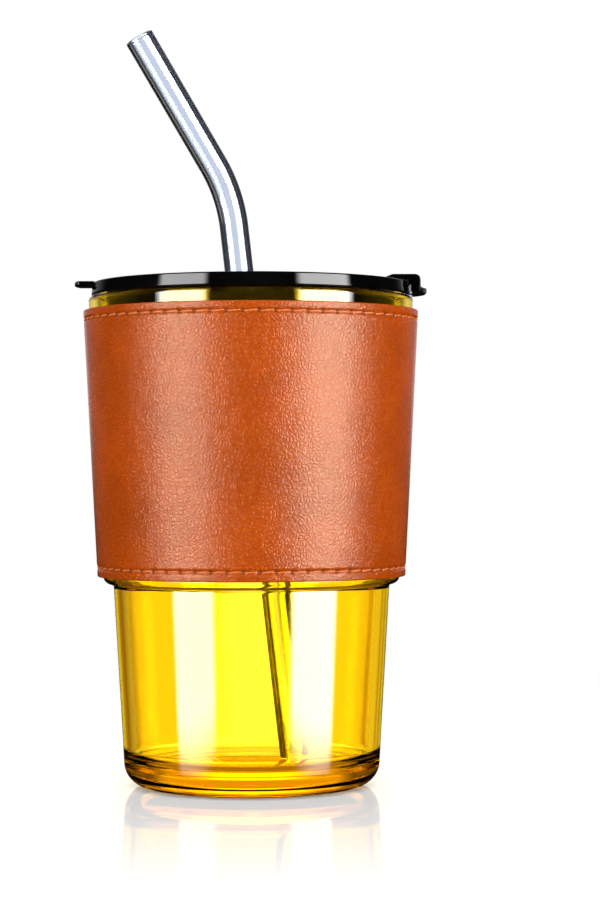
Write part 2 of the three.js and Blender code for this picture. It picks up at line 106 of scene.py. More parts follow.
def drawOutline(name, corners, place, closed=False):
    # a vertex is pulled from corner to corner, then the corners with a fillet are bevelled
    selectOnly()
    bpy.ops.mesh.primitive_plane_add(size=mm)
    piece = bpy.context.object
    piece.name = name
    editPiece(piece)
    selectAll()
    bpy.ops.mesh.merge(type="CENTER")
    points = [Vector(place(corner[0] * mm, corner[1] * mm)) for corner in corners]
    bpy.ops.transform.translate(value=points[0])
    for here, there in zip(points, points[1:]):
        extrude(there - here)
    if closed:
        ends = (points[0], points[-1])
        pickVertices(piece, lambda co: min((co - end).length for end in ends) < drawing["samePlace"])
        bpy.ops.mesh.edge_face_add()
    for index, corner in enumerate(corners):
        if len(corner) > 2:
            roundCorner(piece, points, index, corner[2] * mm, *corner[3:])
    return piece


def roundCorner(piece, points, index, fillet, share=0.45):
    # share is how much of the shorter side a fillet may take
    here = points[index]
    before = here - points[index - 1]
    after = points[(index + 1) % len(points)] - here
    turn = before.angle(after)
    offset = min(fillet * math.tan(turn / 2), share * min(before.length, after.length))
    pickVertices(piece, lambda co: (co - here).length < drawing["samePlace"])
    bpy.ops.mesh.bevel(
        offset=offset, offset_type="OFFSET", affect="VERTICES",
        segments=max(drawing["leastBevel"], round(turn / drawing["bevelTurn"])),
    )


def onRadius(radius, height):
    return (radius, 0, height)


def spinOutline(steps, angle=2 * math.pi):
    selectAll()
    bpy.ops.mesh.spin(steps=steps, angle=angle, center=(0, 0, 0), axis=(0, 0, 1))


def closeMesh():
    # welds the seam, turns the faces outwards and leaves edit mode
    selectAll()
    bpy.ops.mesh.remove_doubles(threshold=drawing["weld"])
    bpy.ops.mesh.normals_make_consistent(inside=False)
    leaveEdit()


def fillEnds():
    selectAll()
    bpy.ops.mesh.fill_holes(sides=0)
    closeMesh()


def turnedPiece(name, corners, steps, closed=False):
    piece = drawOutline(name, corners, onRadius, closed)
    spinOutline(steps)
    closeMesh()
    return piece


def extrudeOutline(along):
    # a drawn closed outline becomes a face and then a solid
    selectAll()
    bpy.ops.mesh.edge_face_add()
    extrude(along)
    closeMesh()


def useModifier(piece, kind, **values):
    selectOnly(piece)
    bpy.ops.object.modifier_add(type=kind)
    modifier = piece.modifiers[-1]
    for key, value in values.items():
        setattr(modifier, key, value)
    bpy.ops.object.modifier_apply(modifier=modifier.name)


def softenEdges(piece, width, angle=40, segments=3):
    useModifier(
        piece, "BEVEL", width=width * mm, segments=segments, limit_method="ANGLE",
        angle_limit=math.radians(angle), harden_normals=False,
    )


def combine(piece, other, operation):
    useModifier(piece, "BOOLEAN", object=other, operation=operation, solver="EXACT")
    bpy.data.objects.remove(other)


def finishPiece(piece, material, body, nodes, smoothAngle=32):
    selectOnly(piece)
    bpy.ops.object.transform_apply(location=True, rotation=True, scale=True)
    bpy.ops.object.shade_smooth_by_angle(angle=math.radians(smoothAngle))
    useModifier(piece, "WEIGHTED_NORMAL", keep_sharp=True, weight=80)
    piece.data.materials.clear()
    piece.data.materials.append(material)
    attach(piece, body)
    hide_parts(*nodes)
    print("made", piece.name, len(piece.data.polygons), "faces")


# node helpers

def addNode(tree, kind, sockets=None, **settings):
    made = tree.nodes.new("ShaderNode" + kind)
    for key, value in settings.items():
        setattr(made, key, value)
    for key, value in (sockets or {}).items():
        if isinstance(value, bpy.types.NodeSocket):
            tree.links.new(value, made.inputs[key])
        else:
            made.inputs[key].default_value = value
    return made


def feed(node, socket, value):
    node.id_data.links.new(value, node.inputs[socket])


def calc(tree, operation, first, second=0.0, third=0.0):
    sockets = {0: first, 1: second, 2: third}
    return addNode(tree, "Math", sockets, operation=operation).outputs[0]


def remap(tree, value, fromLow, fromHigh, toLow=0.0, toHigh=1.0, smooth=True):
    sockets = {
        "Value": value, "From Min": fromLow, "From Max": fromHigh, "To Min": toLow, "To Max": toHigh,
    }
    kind = "SMOOTHSTEP" if smooth else "LINEAR"
    return addNode(tree, "MapRange", sockets, interpolation_type=kind).outputs[0]


def shadeRamp(tree, place, stops):
    ramp = addNode(tree, "ValToRGB", {0: place})
    marks = ramp.color_ramp.elements
    for number, (position, shade) in enumerate(stops):
        mark = marks[number] if number < 2 else marks.new(position)
        mark.position = position
        mark.color = shade
    return ramp.outputs[0]


def blendColours(tree, share, first, second, way="MIX"):
    sockets = {0: share, 6: first, 7: second}
    return addNode(tree, "Mix", sockets, data_type="RGBA", blend_type=way).outputs[2]


def scaled(tree, vector, factor):
    return addNode(tree, "VectorMath", {0: vector, "Scale": factor}, operation="SCALE").outputs[0]


def vectorCalc(tree, operation, first, second):
    return addNode(tree, "VectorMath", {0: first, 1: second}, operation=operation).outputs[0]


def asGrey(tree, value):
    return addNode(tree, "CombineXYZ", {0: value, 1: value, 2: value}).outputs[0]


def addNoise(tree, coords, scale, detail, output=0):
    sockets = {"Vector": coords, "Scale": scale, "Detail": detail}
    return addNode(tree, "TexNoise", sockets).outputs[output]


def inMillimetres(tree):
    return scaled(tree, addNode(tree, "TexCoord").outputs["Object"], 1 / mm)


def newMaterial(name, **constants):
    material = bpy.data.materials.new(name)
    material.use_nodes = True
    tree = material.node_tree
    shader = tree.nodes["Principled BSDF"]
    for key, value in constants.items():
        shader.inputs[key.replace("_", " ")].default_value = value
    return material, tree, shader


def newGroup(name, inputs, outputs):
    group = bpy.data.node_groups.new(name, "ShaderNodeTree")
    for label, value in inputs.items():
        socket = group.interface.new_socket(name=label, in_out="INPUT", socket_type="NodeSocketFloat")
        socket.default_value = value
    for label in outputs:
        group.interface.new_socket(name=label, in_out="OUTPUT", socket_type="NodeSocketFloat")
    return group, group.nodes.new("NodeGroupInput"), group.nodes.new("NodeGroupOutput")


def placeGroup(tree, group, **values):
    made = tree.nodes.new("ShaderNodeGroup")
    made.node_tree = group
    for key, value in values.items():
        made.inputs[key].default_value = value
    return made


# faint marks of handling: uneven gloss and a very low ripple
handlingLook = {
    "detail": 3.0, "fineTimes": 9.0, "fineDetail": 2.0, "fineShare": 0.35, "spread": (0.38, 0.64),
}


def makeHandlingMarks():
    look = handlingLook
    group, given, result = newGroup(
        "handlingMarks",
        {"Size": 12.0, "Least": 0.05, "Most": 0.12},
        ("Roughness", "Ripple"),
    )
    coords = inMillimetres(group)
    scale = calc(group, "DIVIDE", 1.0, given.outputs["Size"])
    broad = addNoise(group, coords, scale, look["detail"])
    fineScale = calc(group, "MULTIPLY", scale, look["fineTimes"])
    fine = addNoise(group, coords, fineScale, look["fineDetail"])
    broadShare = calc(group, "MULTIPLY", broad, 1 - look["fineShare"])
    mixed = calc(group, "MULTIPLY_ADD", fine, look["fineShare"], broadShare)
    share = remap(group, mixed, *look["spread"])
    span = calc(group, "SUBTRACT", given.outputs["Most"], given.outputs["Least"])
    rough = calc(group, "MULTIPLY_ADD", share, span, given.outputs["Least"])
    feed(result, "Roughness", rough)
    feed(result, "Ripple", broad)
    return group


# small closed cells with soft creases between them, for the leather
grainLook = {
    "driftScale": 0.5, "driftDetail": 2.0, "fineTimes": 2.3, "pebble": 0.3, "wrinkle": 0.16,
    "wrinkleShare": 0.25, "toneScale": 0.06, "toneDetail": 4.0,
}


def makePebbleGrain():
    look = grainLook
    group, given, result = newGroup(
        "pebbleGrain",
        {"Cell": 1.2, "Warp": 0.5},
        ("Height", "Crease", "Tone"),
    )
    coords = inMillimetres(group)
    drift = addNoise(group, coords, look["driftScale"], look["driftDetail"], "Color")
    centred = vectorCalc(group, "SUBTRACT", drift, (0.5, 0.5, 0.5))
    bent = vectorCalc(group, "ADD", coords, scaled(group, centred, given.outputs["Warp"]))

    def domes(scale, top):
        sockets = {"Vector": bent, "Scale": scale}
        cells = addNode(group, "TexVoronoi", sockets, feature="DISTANCE_TO_EDGE")
        return remap(group, cells.outputs["Distance"], 0.0, top)

    scale = calc(group, "DIVIDE", 1.0, given.outputs["Cell"])
    pebble = domes(scale, look["pebble"])
    wrinkle = domes(calc(group, "MULTIPLY", scale, look["fineTimes"]), look["wrinkle"])
    pebbleShare = calc(group, "MULTIPLY", pebble, 1 - look["wrinkleShare"])
    height = calc(group, "MULTIPLY_ADD", wrinkle, look["wrinkleShare"], pebbleShare)
    feed(result, "Height", height)
    feed(result, "Crease", calc(group, "SUBTRACT", 1.0, height))
    tone = addNoise(group, coords, look["toneScale"], look["toneDetail"])
    feed(result, "Tone", tone)
    return group


handlingMarks = makeHandlingMarks()
pebbleGrain = makePebbleGrain()


def addBump(tree, shader, height, strength, distance):
    sockets = {"Height": height, "Strength": strength, "Distance": distance * mm}
    bump = addNode(tree, "Bump", sockets)
    feed(shader, "Normal", bump.outputs[0])


def addFibre(tree, shader, look):
    fibre = addNoise(tree, inMillimetres(tree), look["scale"], look["detail"])
    mixed = blendColours(tree, remap(tree, fibre, *look["spread"]), look["dark"], look["light"])
    feed(shader, "Base Color", mixed)
    addBump(tree, shader, fibre, look["strength"], look["depth"])
    return fibre


glassLook = {
    "ior": 1.5, "mostRough": 0.012, "rippleHeight": 0.05, "edgeShade": (0.002, 0.002, 0.003, 1),
}


def makeGlass(name, colour, tint, density, size, ripple, outlineShade=None):
    material, tree, shader = newMaterial(name, IOR=glassLook["ior"], Transmission_Weight=1.0)
    shader.inputs["Base Color"].default_value = colour
    if outlineShade:  # painted shade: a thin tube's walls are coloured darker towards its outline
        facing = addNode(tree, "LayerWeight").outputs["Facing"]
        shaded = blendColours(tree, remap(tree, facing, *outlineShade), colour, glassLook["edgeShade"])
        feed(shader, "Base Color", shaded)
    marks = placeGroup(tree, handlingMarks, Size=size, Least=0.0, Most=glassLook["mostRough"])
    feed(shader, "Roughness", marks.outputs["Roughness"])
    addBump(tree, shader, marks.outputs["Ripple"], ripple, glassLook["rippleHeight"])
    body = addNode(tree, "VolumeAbsorption", {"Color": tint, "Density": density})
    feed(tree.nodes["Material Output"], "Volume", body.outputs[0])
    return material


blackLook = {
    "ior": 1.5, "specular": 0.27, "wornTimes": 2.2, "wornSpread": (0.35, 0.75),
    "speckScale": 6.0, "speckDetail": 3.0,
}


def makeBlack(name, colour, least, most, size, grain):
    look = blackLook
    material, tree, shader = newMaterial(name, IOR=look["ior"], Specular_IOR_Level=look["specular"])
    marks = placeGroup(tree, handlingMarks, Size=size, Least=least, Most=most)
    feed(shader, "Roughness", marks.outputs["Roughness"])
    worn = tuple(look["wornTimes"] * part for part in colour) + (1,)
    shade = remap(tree, marks.outputs["Ripple"], *look["wornSpread"])
    feed(shader, "Base Color", blendColours(tree, shade, colour + (1,), worn))
    speck = addNoise(tree, inMillimetres(tree), look["speckScale"], look["speckDetail"])
    addBump(tree, shader, speck, 1.0, grain)
    return material


amberGlass = makeGlass(
    "amberGlass", colour=(1.0, 0.81, 0.08, 1), tint=(0.99, 0.9, 0.3, 1),
    density=140, size=30, ripple=0.15,
)
clearGlass = makeGlass(
    "clearGlass", colour=(0.86, 0.89, 0.95, 1), tint=(0.86, 0.9, 0.95, 1),
    density=600, size=20, ripple=0.015, outlineShade=(0.19, 0.46),
)
glossPlastic = makeBlack(
    "glossPlastic", colour=(0.0012, 0.0012, 0.0014), least=0.03, most=0.07, size=18, grain=0.0015,
)
softSilicone = makeBlack(
    "softSilicone", colour=(0.012, 0.012, 0.013), least=0.5, most=0.65, size=6, grain=0.03,
)
print("shared materials made")


# glass cup: one spun wall with a stepped side, a thick base and a hollow foot
glassCup = {
    "height": 135, "rim": 45.1, "wall": 3.2, "rimFillet": 1.2, "bowlFoot": 41.1,
    "shoulderTop": 58.2, "shoulderFillet": 2.2, "crease": 55.5, "creaseFillet": 0.6,
    "ledge": 1.6, "ledgeRise": 0.3, "noseRise": 1.5,
    "lowerTop": 38.2, "foot": 35.0, "footFillet": 6.5, "footShare": 0.9,
    "footRing": 24.5, "ringFillet": 0.5, "punt": 1, "puntSlope": 3, "floor": 7, "floorFillet": 4,
    "innerDrop": 0.6, "innerFillet": 0.8,  # the inner step lies low enough for the shoulder to pass light
    "steps": 200,
}


def bowlRadius(height):
    rise = (height - glassCup["shoulderTop"]) / (glassCup["height"] - glassCup["shoulderTop"])
    return glassCup["bowlFoot"] + rise * (glassCup["rim"] - glassCup["bowlFoot"])


def makeGlassCup():
    cup = glassCup
    wall = cup["wall"]
    nose = cup["crease"] + cup["noseRise"]
    floorEdge = cup["foot"] + (cup["lowerTop"] - cup["foot"]) * cup["floor"] / cup["crease"]
    piece = turnedPiece("glassCup", [
        (0, cup["punt"]),
        (cup["footRing"] - cup["puntSlope"], cup["punt"], cup["puntSlope"]),
        (cup["footRing"], 0, cup["ringFillet"]),
        (cup["foot"], 0, cup["footFillet"], cup["footShare"]),
        (cup["lowerTop"], cup["crease"], cup["creaseFillet"]),
        (cup["lowerTop"] + cup["ledge"], cup["crease"] + cup["ledgeRise"], cup["shoulderFillet"]),
        (bowlRadius(nose), nose, cup["shoulderFillet"]),
        (cup["rim"], cup["height"], cup["rimFillet"]),
        (cup["rim"] - wall, cup["height"], cup["rimFillet"]),
        (cup["bowlFoot"] - wall, cup["shoulderTop"] - cup["innerDrop"], cup["innerFillet"]),
        (cup["lowerTop"] - wall, cup["crease"] - cup["innerDrop"], cup["innerFillet"]),
        (floorEdge - wall, cup["floor"], cup["floorFillet"]),
        (0, cup["floor"]),
    ], cup["steps"])
    finishPiece(piece, amberGlass, "cup", ["glass_cup"], smoothAngle=60)


makeGlassCup()


# sleeve: a leather wrap with rolled edges, pressed stitch rows and a seam at the back
sleeve = {
    "bottom": 57.8, "top": 131.2, "backing": 0.7, "thickness": 0.85, "edgeFillet": 0.4,
    "rowInset": 2.6, "channelDepth": 0.3, "channelWidth": 1.9, "holeDepth": 0.22, "holeEdge": (0.6, 0.36),
    "seamGap": 0.5, "pitch": 4.33, "seamRow": 2.45, "seamEnd": 5.4, "seamClear": 4.6,
    "edgeRoom": 1, "rowReach": 2, "rowStep": 0.25, "plainStep": 1.0,
    "skinDepth": 0.6, "puckerReach": 1.6, "puckerSpread": 0.5, "steps": 480,
}
rowHeights = (sleeve["top"] - sleeve["rowInset"], sleeve["bottom"] + sleeve["rowInset"])


def backRadius(height):
    return bowlRadius(height) + sleeve["backing"]


def skinRadius(height):
    return backRadius(height) + sleeve["thickness"]


def rowCount(height):
    return round(2 * math.pi * skinRadius(height) / sleeve["pitch"])


def channelPress(across):
    # how far a stitch row presses the leather in, at a distance across the row
    near = across / (sleeve["channelWidth"] / 2)
    return sleeve["channelDepth"] * math.cos(near * math.pi / 2) ** 2 if near < 1 else 0


def fromRow(height):
    return min(abs(height - row) for row in rowHeights)


def hypotenuse(tree, first, second):
    squares = [calc(tree, "MULTIPLY", side, side) for side in (first, second)]
    return calc(tree, "SQRT", calc(tree, "ADD", *squares))


def makeNeedleHoles():
    group, given, result = newGroup(
        "needleHoles", {"Row": 0.0, "Count": 64.0, "Pitch": 4.2}, ("Hole",),
    )
    place = addNode(group, "SeparateXYZ", {0: inMillimetres(group)})
    x, y, z = place.outputs[0], place.outputs[1], place.outputs[2]
    angle = calc(group, "ARCTAN2", x, calc(group, "MULTIPLY", y, -1.0))  # zero at the front
    turns = calc(group, "DIVIDE", angle, 2 * math.pi)
    part = calc(group, "FRACT", calc(group, "MULTIPLY", turns, given.outputs["Count"]))
    fromHole = calc(group, "ABSOLUTE", calc(group, "SUBTRACT", part, 0.5))
    along = calc(group, "MULTIPLY", fromHole, given.outputs["Pitch"])
    across = calc(group, "SUBTRACT", z, given.outputs["Row"])
    hole = remap(group, hypotenuse(group, along, across), *sleeve["holeEdge"])
    feed(result, "Hole", hole)
    return group


leatherLook = {
    "ior": 1.5, "specular": 0.28, "sheen": (1.0, 0.85, 0.62, 1), "cell": 1.05, "warp": 0.9,
    # crease: painted shade, a darker colour for the creases between the pebbles
    "pebble": (0.46, 0.07, 0.0026, 1), "crease": (0.33, 0.043, 0.0015, 1),
    # hole: painted shade, a near-black colour in each needle hole
    "toneSpread": (0.3, 0.7, 0.9, 1.1), "hole": (0.012, 0.0016, 0.0005, 1), "holeRough": 0.6,
    "cutDepth": (0.35, 0.6), "cut": (0.40, 0.13, 0.05, 1), "rough": (0.08, 0.16), "bump": 0.062,
}


def makeLeather():
    look = leatherLook
    material, tree, shader = newMaterial(
        "tanLeather", IOR=look["ior"], Specular_IOR_Level=look["specular"], Specular_Tint=look["sheen"],
    )
    grain = placeGroup(tree, pebbleGrain, Cell=look["cell"], Warp=look["warp"])
    # painted shade: the creases between the pebbles are coloured darker than the pebble tops
    creasesShaded = blendColours(tree, grain.outputs["Crease"], look["pebble"], look["crease"])
    tone = remap(tree, grain.outputs["Tone"], *look["toneSpread"])
    toned = blendColours(tree, 1.0, creasesShaded, asGrey(tree, tone), "MULTIPLY")
    needleHoles = makeNeedleHoles()
    holes = [
        placeGroup(tree, needleHoles, Row=row, Count=rowCount(row), Pitch=sleeve["pitch"])
        for row in rowHeights
    ]
    hole = calc(tree, "MAXIMUM", *[made.outputs["Hole"] for made in holes])
    # painted shade: each needle hole is coloured near black
    holesShaded = blendColours(tree, hole, toned, look["hole"])
    place = addNode(tree, "SeparateXYZ", {0: inMillimetres(tree)})
    out = hypotenuse(tree, place.outputs[0], place.outputs[1])
    slope = (glassCup["rim"] - glassCup["bowlFoot"]) / (glassCup["height"] - glassCup["shoulderTop"])
    skin = calc(tree, "MULTIPLY_ADD", place.outputs[2], slope, skinRadius(0))
    cut = remap(tree, calc(tree, "SUBTRACT", skin, out), *look["cutDepth"])
    edged = blendColours(tree, cut, holesShaded, look["cut"])
    feed(shader, "Base Color", edged)
    rough = remap(tree, grain.outputs["Crease"], 0.0, 1.0, *look["rough"], False)
    rough = calc(tree, "MULTIPLY_ADD", hole, look["holeRough"], rough)
    feed(shader, "Roughness", rough)
    feed(shader, "Metallic", hole)  # painted shade: metallic with the near-black hole colour takes the sheen out of a needle hole
    addBump(tree, shader, grain.outputs["Height"], 1.0, look["bump"])
    return material


tanLeather = makeLeather()


def makeSleeveLeather():
    bottom, top, fillet = sleeve["bottom"], sleeve["top"], sleeve["edgeFillet"]
    corners = [(backRadius(bottom), bottom), (skinRadius(bottom), bottom, fillet)]
    height = bottom + sleeve["edgeRoom"]
    while height < top - sleeve["edgeRoom"]:
        corners.append((skinRadius(height) - channelPress(fromRow(height)), height))
        height += sleeve["rowStep"] if fromRow(height) < sleeve["rowReach"] else sleeve["plainStep"]
    corners += [(skinRadius(top), top, fillet), (backRadius(top), top)]
    gap = sleeve["seamGap"] / skinRadius(top)
    start = math.pi / 2 - gap / 2
    piece = drawOutline(
        "sleeveLeather", corners,
        lambda radius, height: (radius * math.cos(start), radius * math.sin(start), height), True,
    )
    spinOutline(sleeve["steps"], 2 * math.pi - gap)
    fillEnds()
    puckerRows(piece)
    finishPiece(piece, tanLeather, "sleeve", ["sleeve_leather"], smoothAngle=50)


def puckerRows(piece):
    # each needle hole draws the leather in, and the seam rows at the back are pressed in too
    rows = [(row, rowCount(row)) for row in rowHeights]
    for vertex in piece.data.vertices:
        x, y, z = vertex.co / mm
        radius = math.hypot(x, y)
        if skinRadius(z) - radius > sleeve["skinDepth"]:
            continue
        drawn = 0
        for row, count in rows:
            across = z - row
            if abs(across) < sleeve["puckerReach"]:
                part = (math.atan2(x, -y) / (2 * math.pi) * count) % 1
                along = abs(part - 0.5) * sleeve["pitch"]
                spread = (along ** 2 + across ** 2) / sleeve["puckerSpread"]
                drawn += sleeve["holeDepth"] * math.exp(-spread)
        if y > 0 and sleeve["bottom"] + sleeve["seamClear"] < z < sleeve["top"] - sleeve["seamClear"]:
            drawn += channelPress(abs(abs(x) - sleeve["seamRow"]))
        if drawn:
            share = (radius - drawn) / radius
            vertex.co.x *= share
            vertex.co.y *= share


makeSleeveLeather()


lining = {"fit": 0.2, "thickness": 0.35, "inset": 0.5, "edgeFillet": 0.1, "steps": 160}
liningLook = {
    "scale": 3.0, "detail": 4.0, "spread": (0.3, 0.7), "dark": (0.72, 0.6, 0.42, 1),
    "light": (0.86, 0.76, 0.6, 1), "strength": 0.6, "depth": 0.08,
}


def makeLiningCloth():
    material, tree, shader = newMaterial("liningCloth", Roughness=0.9)
    addFibre(tree, shader, liningLook)
    return material


def makeSleeveLining():
    bottom, top = sleeve["bottom"] + lining["inset"], sleeve["top"] - lining["inset"]
    low, high = bowlRadius(bottom) + lining["fit"], bowlRadius(top) + lining["fit"]
    thick, fillet = lining["thickness"], lining["edgeFillet"]
    piece = turnedPiece("sleeveLining", [
        (low, bottom), (low + thick, bottom, fillet), (high + thick, top, fillet), (high, top),
    ], lining["steps"], True)
    finishPiece(piece, makeLiningCloth(), "sleeve", ["sleeve_lining"])


makeSleeveLining()


# stitches: one twisted stitch, copied along each row
stitch = {
    "reach": 1.85, "sink": 0.45, "rise": 0.1, "width": 0.25, "flat": 0.8,
    "rings": 8, "sides": 8, "twist": 42, "slant": 6, "bulge": 0.6,
}
threadLook = {
    "scale": 4.0, "detail": 3.0, "spread": (0.3, 0.7), "dark": (0.52, 0.11, 0.006, 1),
    "light": (0.75, 0.2, 0.015, 1), "strength": 0.5, "depth": 0.06, "rough": (0.2, 0.8, 0.4, 0.6),
}


def makeThread():
    material, tree, shader = newMaterial("orangeThread", IOR=1.45)
    fibre = addFibre(tree, shader, threadLook)
    rough = remap(tree, fibre, *threadLook["rough"], False)
    feed(shader, "Roughness", rough)
    return material


orangeThread = makeThread()


def modelStitch():
    # along X, outwards along Z: it leaves one needle hole, lies on the leather and enters the next
    selectOnly()
    first = Vector((-stitch["reach"], 0, -stitch["sink"])) * mm
    bpy.ops.mesh.primitive_circle_add(
        vertices=stitch["sides"], radius=stitch["width"] * mm,
        location=first, rotation=(0, math.pi / 2, 0),
    )
    piece = bpy.context.object
    bpy.ops.object.transform_apply(location=True, rotation=True)
    editPiece(piece)
    selectAll()
    bpy.ops.transform.resize(value=(1, 1, stitch["flat"]), center_override=first)
    here = first
    for ring in range(1, stitch["rings"] + 1):
        share = ring / stitch["rings"]
        lift = math.sin(math.pi * share) ** stitch["bulge"]
        height = -stitch["sink"] + (stitch["sink"] + stitch["rise"]) * lift
        there = Vector((stitch["reach"] * (2 * share - 1), 0, height)) * mm
        extrude(there - here)
        bpy.ops.transform.rotate(
            value=math.radians(stitch["twist"]), orient_axis="X", center_override=there,
        )
        here = there
    fillEnds()
    return piece


def stitchFrame(place, along, outward):
    turned = Matrix.Rotation(math.radians(stitch["slant"]), 3, outward) @ along
    across = outward.cross(turned)
    turn = Matrix((turned, across, outward)).transposed().to_4x4()
    return Matrix.Translation(place) @ turn


def makeStitchRow(name, frames, node):
    model = modelStitch()
    copies = []
    for place in frames:
        copied = model.copy()
        copied.data = model.data.copy()
        scene.collection.objects.link(copied)
        copied.matrix_world = place
        copies.append(copied)
    bpy.data.objects.remove(model)
    selectOnly(*copies)
    bpy.ops.object.join()
    row = bpy.context.object
    row.name = name
    finishPiece(row, orangeThread, "sleeve", [node], smoothAngle=70)


def edgeFrames(height):
    count = rowCount(height)
    radius = skinRadius(height) - sleeve["channelDepth"]
    frames = []
    for number in range(count):
        angle = 2 * math.pi * number / count - math.pi / 2
        outward = Vector((math.cos(angle), math.sin(angle), 0))
        along = Vector((-math.sin(angle), math.cos(angle), 0))
        place = outward * radius * mm + Vector((0, 0, height * mm))
        frames.append(stitchFrame(place, along, outward))
    return frames


def seamFrames(side):
    low = sleeve["bottom"] + sleeve["seamEnd"]
    length = sleeve["top"] - sleeve["seamEnd"] - low
    count = round(length / sleeve["pitch"])
    frames = []
    for number in range(count):
        height = low + length * (number + 0.5) / count
        depth = skinRadius(height) - sleeve["channelDepth"]
        place = Vector((side * sleeve["seamRow"], depth, height)) * mm
        frames.append(stitchFrame(place, Vector((0, 0, 1)), Vector((0, 1, 0))))
    return frames


makeStitchRow("topStitches", edgeFrames(rowHeights[0]), "sleeve_top_stitching")
makeStitchRow("bottomStitches", edgeFrames(rowHeights[1]), "sleeve_bottom_stitching")
makeStitchRow("seamStitchesLeft", seamFrames(-1), "sleeve_seam_stitching_left")
makeStitchRow("seamStitchesRight", seamFrames(1), "sleeve_seam_stitching_right")


# lid: a turned moulding with a plug, a pull tab, hinge ears, a drinking slot and the straw's hole
lid = {
    "radius": 44.3, "under": 135.3, "top": 138.9, "draft": 0.4, "edgeFillet": 0.5, "recess": 41.5,
    "recessFloor": 136.5, "fillet": 0.6, "panelUnder": 134.7, "plug": 40.04, "plugWall": 1.8,
    "plugBottom": 126.3, "plugFillet": 0.8, "grooveLow": 128.4, "grooveHigh": 131.6, "grooveDepth": 1,
    "plugEdge": 0.3, "grooveFillet": 0.15, "underFillet": 0.2,
    "tabWidth": 10, "tabReach": 4.6, "tabThick": 1.35, "tabRise": 0.45, "tabDrop": 1.2, "tabRoot": 1.4,
    "tabEdge": 0.45, "slotX": 33.2, "slotLength": 14, "slotWidth": 6, "strawX": -2.5, "strawHole": 6.58,
    "earOffset": 11.55, "earThick": 2.5, "earRadius": 2.2, "earRoot": 0.8, "earSteps": 24, "earEdge": 0.3,
    "earHole": 6, "steps": 200,
}
past = 1  # how far a cutting shape reaches past what it cuts
sharpTurn = 60  # degrees, the turn from which a small piece's edges are softened
hinge = {"x": 16, "height": 138.5, "barrel": 1.7, "pin": 0.8, "fit": 0.1}


def tonguePlan(back, root, tip, width, steps=24):
    way = 1 if tip > root else -1
    rise = abs(tip - root)
    radius = (width * width / 4 + rise * rise) / (2 * rise)
    half = math.atan2(width / 2, radius - rise)
    plan = [(back, -width / 2)]
    for step in range(steps + 1):
        angle = half * (2 * step / steps - 1)
        plan.append((tip - way * radius * (1 - math.cos(angle)), radius * math.sin(angle)))
    plan.append((back, width / 2))
    return plan


def raisedPlan(name, plan, low, high):
    piece = drawOutline(name, plan, lambda x, y: (x, y, low * mm), True)
    extrudeOutline((0, 0, (high - low) * mm))
    return piece


def crossSection(name, outline, middle, width):
    piece = drawOutline(name, outline, lambda x, z: (x, (middle - width / 2) * mm, z), True)
    extrudeOutline((0, width * mm, 0))
    return piece


def roundPlan(x, y, radius, sides):
    angles = [2 * math.pi / sides * side for side in range(sides)]
    return [(x + radius * math.cos(angle), y + radius * math.sin(angle)) for angle in angles]


def hingeBar(name, radius, middle, width, sides=48):
    ring = roundPlan(hinge["x"], hinge["height"], radius, sides)
    return crossSection(name, ring, middle, width)


def roundPost(name, x, radius, low, high, sides=96):
    return raisedPlan(name, roundPlan(x, 0, radius, sides), low, high)


def oblongPlan(x, length, width, steps=16):
    half = (length - width) / 2
    plan = []
    for side in (1, -1):
        for step in range(steps + 1):
            angle = side * math.pi / 2 + math.pi * (step / steps - 0.5)
            plan.append((x + width / 2 * math.cos(angle), side * half + width / 2 * math.sin(angle)))
    return plan


def makeEar(side):
    radius, root = lid["earRadius"], lid["recessFloor"] - lid["earRoot"]
    middle = side * lid["earOffset"]
    outline = [(hinge["x"] - radius, root), (hinge["x"] + radius, root)]
    for step in range(lid["earSteps"] + 1):
        angle = math.pi * step / lid["earSteps"]
        height = hinge["height"] + radius * math.sin(angle)
        outline.append((hinge["x"] + radius * math.cos(angle), height))
    piece = crossSection("ear", outline, middle, lid["earThick"])
    softenEdges(piece, lid["earEdge"], sharpTurn)
    hole = hingeBar("earHole", hinge["pin"] + hinge["fit"], middle, lid["earHole"])
    combine(piece, hole, "DIFFERENCE")
    return piece


